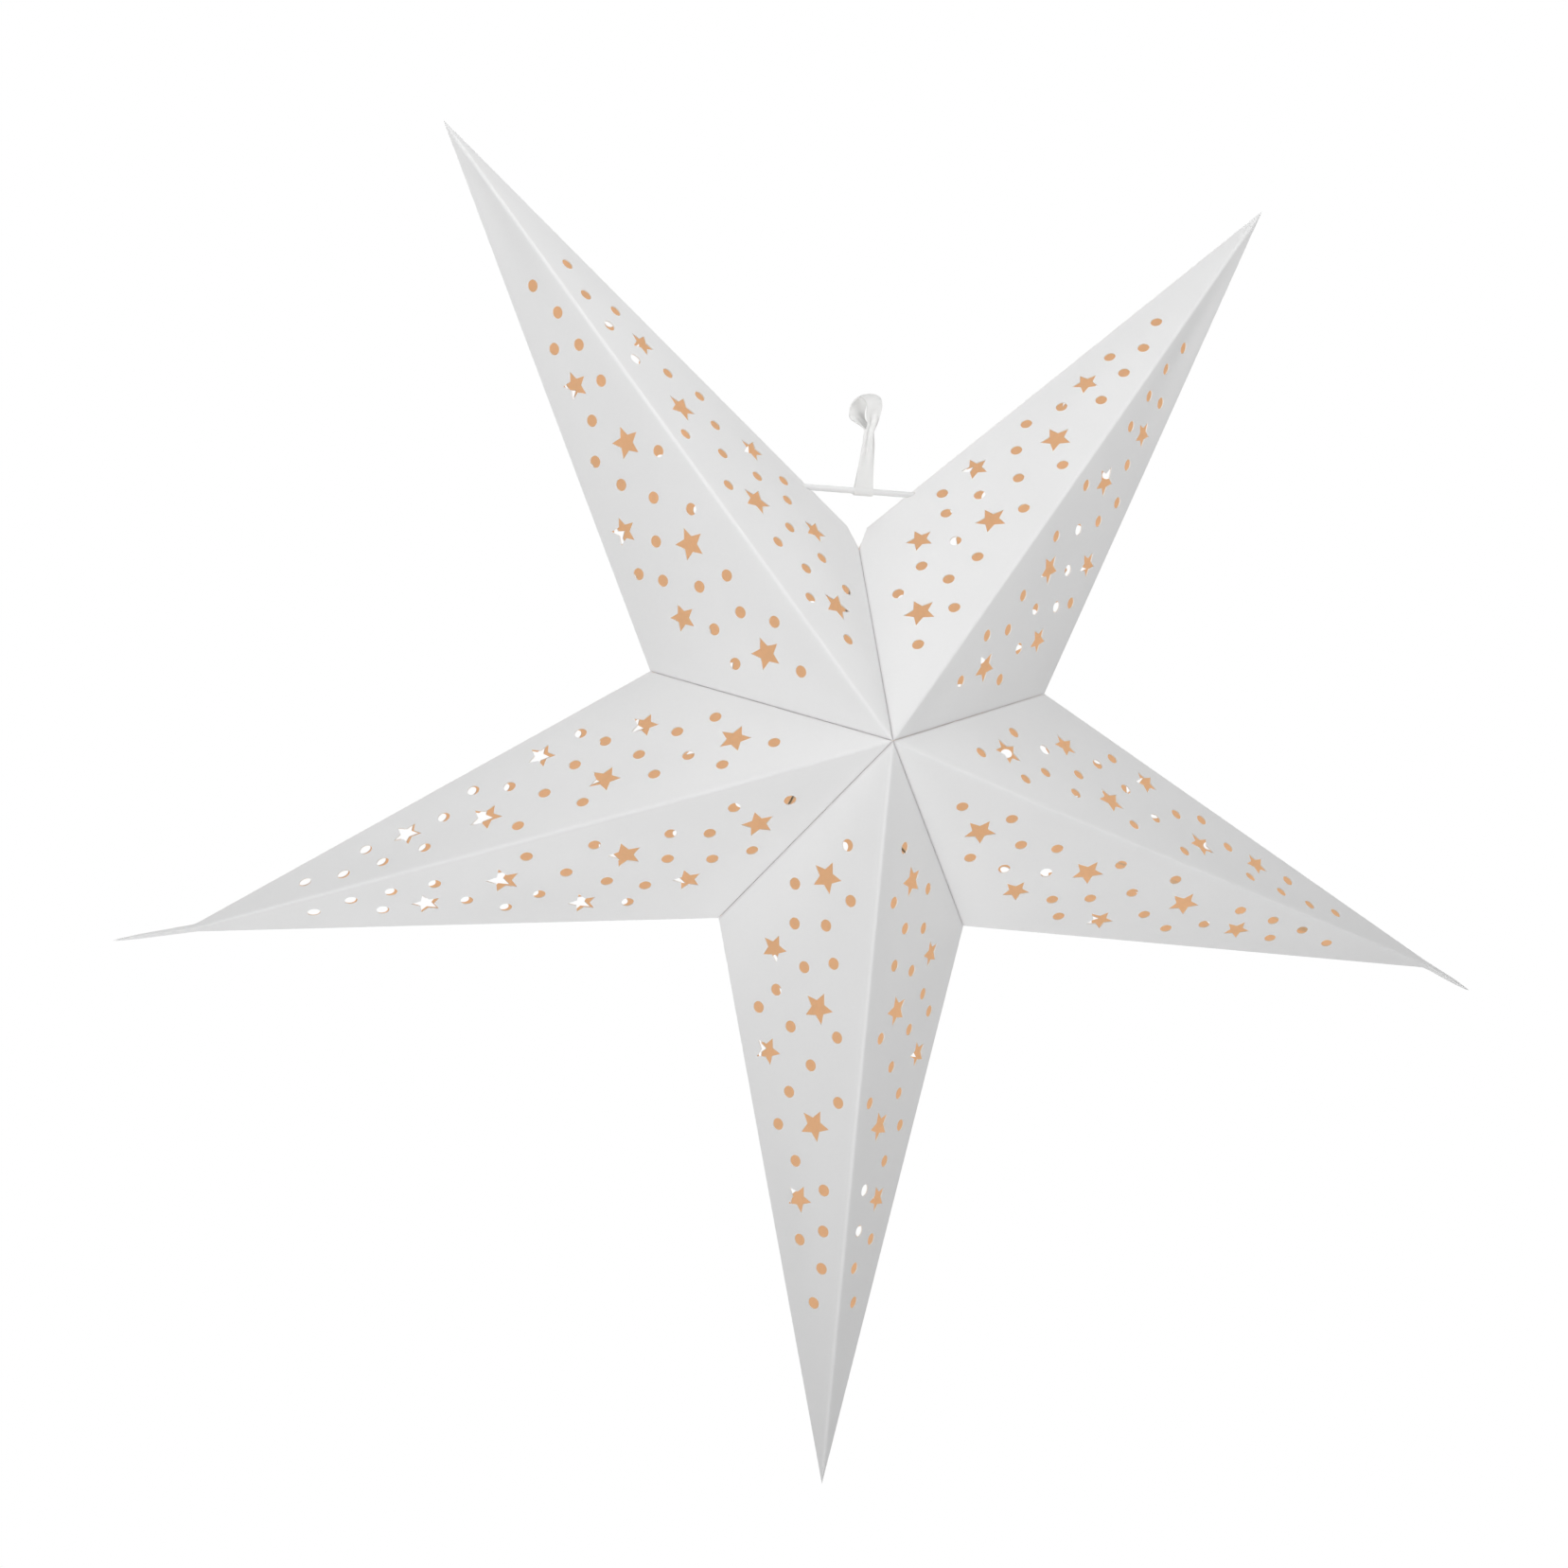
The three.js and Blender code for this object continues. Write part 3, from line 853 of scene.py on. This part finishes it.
class STAR_OT_spreader_rod(bpy.types.Operator):
    """Cut the plastic tube that holds the two upper rays apart"""
    bl_idname = "paper_star.spreader_rod"
    bl_label = "Cut the spreader rod"

    def execute(self, context):
        size = sizes()
        tube = new_primitive(bpy.ops.mesh.primitive_cylinder_add, vertices=40, radius=size.rod_radius,
                             depth=size.rod_length)
        with editing(tube):
            select_where(tube, lambda face: abs(face.normal.z) > FACING)
            bpy.ops.mesh.inset(thickness=TUBE_WALL)
            for end in (1, -1):
                inward = (0, 0, -end * TUBE_HOLLOW)
                select_where(tube, lambda face: face.normal.z * end > FACING and len(face.verts) > 4)
                bpy.ops.mesh.extrude_region_move(TRANSFORM_OT_translate={"value": inward})
        soften_edges(tube, RIM_ROUND, 2)
        height = size.rod_height - size.hanging_drop
        tube.data.transform(Matrix.Translation((0, 0, height)) @ Matrix.Rotation(pi / 2, 4, "Y"))
        tube.name = "spreader_tube"
        tube.data.materials.append(material_named(rod_material))
        shade_smooth(tube, 35)
        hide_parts("spreader_rod")
        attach(tube, "spreader_rod")
        return {"FINISHED"}


# The closed tape, as heights above the rod: where its strands meet over the rod, its neck, and the middle
# and the radius of its eye. Between strand and strand, and between tape and rod, is a little air.
STRANDS_MEET = 6 * MM
NECK_HEIGHT = 25 * MM
EYE_HEIGHT, EYE_RADIUS = 34 * MM, 5.65 * MM
STRAND_AIR, ROD_AIR = 0.02 * MM, 0.05 * MM

# A strand leaves the rod short of half a turn from its bottom: by the lean of a line from beside the rod to
# just under where the strands meet, and by a little more.
UNDER_MEETING = 0.3 * MM
LEAVES_SHORT = 0.25

# The angle below the eye's sides at which its round starts, and how near the tape's ends merge.
EYE_START = 0.75
TAPE_MERGE = 0.004 * MM


def smooth_share(value, low, high):
    share = min(1.0, max(0.0, (value - low) / (high - low)))
    return share * share * (3 - 2 * share)


def shares(steps):
    """Even shares after 0, up to 1."""
    return [step / steps for step in range(1, steps + 1)]


def bend_towards(start, end, steps, eased):
    """Points after the start and up to the end. Across, they ease in and out by the eased share."""
    (start_y, start_z), (end_y, end_z) = start, end
    points = []
    for share in shares(steps):
        across = (1 - eased) * share + eased * smooth_share(share, 0, 1)
        points.append((start_y + (end_y - start_y) * across, start_z + (end_z - start_z) * share))
    return points


def tape_route():
    """The middle line of the closed tape, seen from its edge: (y, z) pairs above the rod, in metres, from
    the bottom of the wrap up one strand, over the eye and down the other."""
    half = sizes().tape_thickness / 2 + STRAND_AIR
    wrap = sizes().rod_radius + half + ROD_AIR
    leaves = pi - math.asin(wrap / (STRANDS_MEET - UNDER_MEETING)) - LEAVES_SHORT
    rise = [(wrap * sin(leaves * share), -wrap * cos(leaves * share)) for share in [0, *shares(24)]]
    rise += bend_towards(rise[-1], (half, STRANDS_MEET), 14, 0.45)
    rise += bend_towards(rise[-1], (half, NECK_HEIGHT), 34, 0)
    eye = [(EYE_RADIUS * sin(angle), EYE_HEIGHT + EYE_RADIUS * cos(angle))
           for angle in [(pi / 2 + EYE_START) * (1 - share) for share in [0, *shares(40)]]]
    rise += bend_towards(rise[-1], eye[0], 14, 0.5)
    rise += eye[1:]
    return rise + [(-y, z) for y, z in reversed(rise[1:-1])]


# How the tape lies, from one height above the rod to another: its pleat deepens, it turns, it is gathered
# from the rod up, and it opens out into its eye.
PLEAT_HEIGHTS = (6 * MM, 20 * MM)
TURN_HEIGHTS = (18 * MM, 27 * MM)
GATHERED_HEIGHT = 20 * MM
OPENING_HEIGHTS = (25.5 * MM, 33 * MM)
PLEAT_DEPTH = 0.75 * MM
PLEAT_TURNS, PLEAT_OFFSET = 1.6, 0.25
TAPE_TURN = radians(25)

# How far the neck stands to the right and the eye to the left, how steeply the eye's two sides rise to the
# right, how far its edges droop and how far the whole eye is lifted.
NECK_SHIFT, EYE_SHIFT = 1.6 * MM, 0.2 * MM
RIGHT_RISE, LEFT_RISE = 0.4, 0.1
EDGE_DROOP, EYE_LIFT = 1.4 * MM, 0.6 * MM


def lay_tape(side, y, z):
    """Where a point of the closed tape comes to lie once the tape is gathered and its eye is opened. Its
    side runs from -1 to 1 across the tape."""
    size = sizes()
    opened = smooth_share(z, *OPENING_HEIGHTS)
    gather = min(1.0, max(0.0, z) / GATHERED_HEIGHT) * (1 - opened)
    turn = TAPE_TURN * smooth_share(z, *TURN_HEIGHTS)
    narrow = 1 - (1 - size.tape_neck / size.tape_width) * gather
    pleat = PLEAT_DEPTH * smooth_share(z, *PLEAT_HEIGHTS) * (1 - opened)
    x = side * size.tape_width / 2 * narrow
    y = y + pleat * cos(pi * (PLEAT_TURNS * side + PLEAT_OFFSET))
    spot = Vector((x * cos(turn) - y * sin(turn), x * sin(turn) + y * cos(turn), z))
    spot.x += NECK_SHIFT * gather - EYE_SHIFT * opened
    steepness = RIGHT_RISE if spot.x > 0 else LEFT_RISE
    spot.z += opened * (steepness * spot.x - EDGE_DROOP * side ** 2 + EYE_LIFT)
    return spot


# How finely the tape is divided along and across, and how far right of the star's middle it hangs.
TAPE_ROWS, TAPE_COLUMNS = 260, 16
TAPE_OFFSET = 2 * MM


class STAR_OT_hanging_tape(bpy.types.Operator):
    """Fold the cotton tape round the rod, gather its neck and open its eye"""
    bl_idname = "paper_star.hanging_tape"
    bl_label = "Fold the hanging tape"

    def execute(self, context):
        size = sizes()
        route = [Vector(pair) for pair in tape_route()]
        lengths = [(b - a).length for a, b in zip(route, route[1:] + route[:1])]
        total = sum(lengths)
        tape = new_primitive(bpy.ops.mesh.primitive_grid_add, x_subdivisions=TAPE_COLUMNS,
                             y_subdivisions=TAPE_ROWS, size=1)
        tape.data.uv_layers[0].name = "strip"
        for loop in tape.data.uv_layers["strip"].data:
            loop.uv = (loop.uv[0] * size.tape_width / MM, loop.uv[1] * total / MM)
        for vertex in tape.data.vertices:
            side, left = vertex.co.x * 2, (vertex.co.y + 0.5) * total
            index = 0
            while index < len(lengths) - 1 and left > lengths[index]:
                left -= lengths[index]
                index += 1
            share = min(1.0, left / lengths[index])
            vertex.co = lay_tape(side, *route[index].lerp(route[(index + 1) % len(route)], share))
        with editing(tape):
            bpy.ops.mesh.remove_doubles(threshold=TAPE_MERGE)
            bpy.ops.mesh.normals_make_consistent(inside=False)
        apply_modifier(tape, "SOLIDIFY", thickness=size.tape_thickness, offset=0)
        tape.data.transform(Matrix.Translation((TAPE_OFFSET, 0, size.rod_height - size.hanging_drop)))
        tape.name = "hanging_tape_band"
        tape.data.materials.append(material_named(tape_material))
        shade_smooth(tape, 40)
        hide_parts("hanging_tape")
        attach(tape, "hanging_tape")
        return {"FINISHED"}


# The camera, fitted to the photograph in the star's own frame: how its frame is turned and moved from
# the star's middle, and its focal length in pixels of the 1657-pixel image.
CAMERA_TURN = [radians(value) for value in (-1.9, 2.4, 12.6)]
CAMERA_SHIFT = Vector((26.8, 878.5, 14.6)) * MM
CAMERA_FOCAL = 2250
IMAGE_SIDE = 1657

# The lamps: name, place, diameter in metres, and power in watts.
LAMPS = [
    ("overhead_lamp", (0.0, -0.4, 1.8), 0.9, 7.6),
    ("high_left_lamp", (-1.0, -0.2, 1.5), 0.9, 1.7),
    ("right_lamp", (2.1, -0.4, -0.1), 0.9, 6.4),
    ("low_left_lamp", (-1.2, -1.3, -1.4), 0.9, 14.0),
    ("low_right_lamp", (1.2, -1.3, -1.4), 0.9, 7.4),
    ("low_front_lamp", (0.0, -0.9, -1.9), 0.9, 37.0),
    ("near_left_lamp", (-0.45, -0.6, -0.15), 0.3, 0.8),
    ("near_top_lamp", (0.0, -0.6, 0.32), 0.3, 2.0),
    ("back_lamp", (0.3, 1.6, 0.0), 1.4, 18.0),
]

# The strength of the world's light, where 1 is white.
WORLD_LEVEL = 0.15

# The floor disc, and what the camera sees on it beyond the lamps' light, so that it is nearly white with a
# soft shadow.
FLOOR_RADIUS, FLOOR_HEIGHT = 0.5, -0.72
FLOOR_GLOW = 0.36
WHITE = (1, 1, 1, 1)


class STAR_OT_stage(bpy.types.Operator):
    """Set the floor, the lamps, the white world and the camera"""
    bl_idname = "paper_star.stage"
    bl_label = "Set the stage"

    def execute(self, context):
        scene = context.scene
        scene.view_settings.view_transform = "Standard"
        self.add_camera(scene)
        self.add_floor()
        self.add_lamps(scene)
        self.paint_world(scene)
        return {"FINISHED"}

    def add_camera(self, scene):
        axis = Vector(CAMERA_TURN)
        turn = Quaternion(axis.normalized(), axis.length).to_matrix().transposed()
        data = bpy.data.cameras.new("camera")
        data.sensor_fit = "HORIZONTAL"
        data.sensor_width = 36
        data.lens = CAMERA_FOCAL / IMAGE_SIDE * data.sensor_width
        data.clip_start = 0.01
        camera = bpy.data.objects.new("camera", data)
        scene.collection.objects.link(camera)
        right, ahead, up = (turn @ Vector(direction) for direction in ((1, 0, 0), (0, 1, 0), (0, 0, 1)))
        place = turn @ -CAMERA_SHIFT + Vector((0, 0, -sizes().hanging_drop))
        columns = Matrix((right, up, -ahead)).transposed().to_4x4()
        camera.matrix_world = Matrix.Translation(place) @ columns
        scene.camera = camera

    def add_floor(self):
        """A board with matt white paint, rolled on, which gives off light to the camera alone."""
        floor = new_primitive(bpy.ops.mesh.primitive_circle_add, vertices=96, radius=FLOOR_RADIUS,
                              fill_type="NGON")
        floor.data.transform(Matrix.Translation((0, 0, FLOOR_HEIGHT)))
        floor.name = "floor"
        material, tree = new_material("painted_board_rolled")
        path = add_node(tree, "ShaderNodeLightPath")
        seen = add_node(tree, "ShaderNodeMath", {"operation": "MULTIPLY"},
                        {0: path.outputs["Is Camera Ray"]})
        seen.inputs[1].default_value = FLOOR_GLOW
        shader = add_node(tree, "ShaderNodeBsdfPrincipled", links={"Emission Strength": seen.outputs[0]},
                          Base_Color=hex_colour("#FDFDFD"), Roughness=0.9, Specular_IOR_Level=0.1,
                          Emission_Color=WHITE)
        finish_material(tree, shader)
        floor.data.materials.append(material)

    def add_lamps(self, scene):
        for name, place, size, power in LAMPS:
            data = bpy.data.lights.new(name, "AREA")
            data.shape = "DISK"
            data.size = size
            data.energy = power
            lamp = bpy.data.objects.new(name, data)
            scene.collection.objects.link(lamp)
            lamp.location = Vector(place)
            aim = Vector((0, 0, -sizes().hanging_drop)) - lamp.location
            lamp.rotation_euler = aim.to_track_quat("-Z", "Y").to_euler()

    def paint_world(self, scene):
        """A white world to the camera, in gloss and through clear things, which lights the star softly."""
        world = bpy.data.worlds.new("studio")
        scene.world = world
        world.use_nodes = True
        tree = world.node_tree
        tree.nodes.clear()
        path = add_node(tree, "ShaderNodeLightPath")
        seen = path.outputs["Is Camera Ray"]
        for ray_kind in ("Is Glossy Ray", "Is Transmission Ray"):
            either = add_node(tree, "ShaderNodeMath", {"operation": "MAXIMUM"},
                              {0: seen, 1: path.outputs[ray_kind]})
            seen = either.outputs[0]
        soft = add_node(tree, "ShaderNodeBackground", Color=WHITE, Strength=WORLD_LEVEL)
        white = add_node(tree, "ShaderNodeBackground", Color=WHITE, Strength=1.0)
        mix = add_node(tree, "ShaderNodeMixShader",
                       links={0: seen, 1: soft.outputs[0], 2: white.outputs[0]})
        output = tree.nodes.new("ShaderNodeOutputWorld")
        tree.links.new(mix.outputs[0], output.inputs["Surface"])


class STAR_PT_panel(bpy.types.Panel):
    """Lists the steps that build the star"""
    bl_idname = "STAR_PT_panel"
    bl_label = "Paper star lantern"
    bl_space_type = "VIEW_3D"
    bl_region_type = "UI"
    bl_category = "Paper star"

    def draw(self, context):
        for step in STEPS:
            self.layout.operator(step.bl_idname)
        for group in (context.scene.star_sizes, context.scene.star_colours):
            for name in type(group).__annotations__:
                self.layout.prop(group, name)


STEPS = [STAR_OT_stage, STAR_OT_ray_sheets, STAR_OT_glue_laps, STAR_OT_spreader_rod, STAR_OT_hanging_tape]
CLASSES = [StarSizes, StarColours, *STEPS, STAR_PT_panel]


def register():
    for kind in CLASSES:
        bpy.utils.register_class(kind)
    bpy.types.Scene.star_sizes = PointerProperty(type=StarSizes)
    bpy.types.Scene.star_colours = PointerProperty(type=StarColours)


def unregister():
    del bpy.types.Scene.star_colours
    del bpy.types.Scene.star_sizes
    for kind in reversed(CLASSES):
        bpy.utils.unregister_class(kind)


def main():
    register()
    bpy.ops.paper_star.stage()
    bpy.ops.paper_star.ray_sheets()
    bpy.ops.paper_star.glue_laps()
    bpy.ops.paper_star.spreader_rod()
    bpy.ops.paper_star.hanging_tape()


if __name__ == "__main__":
    main()
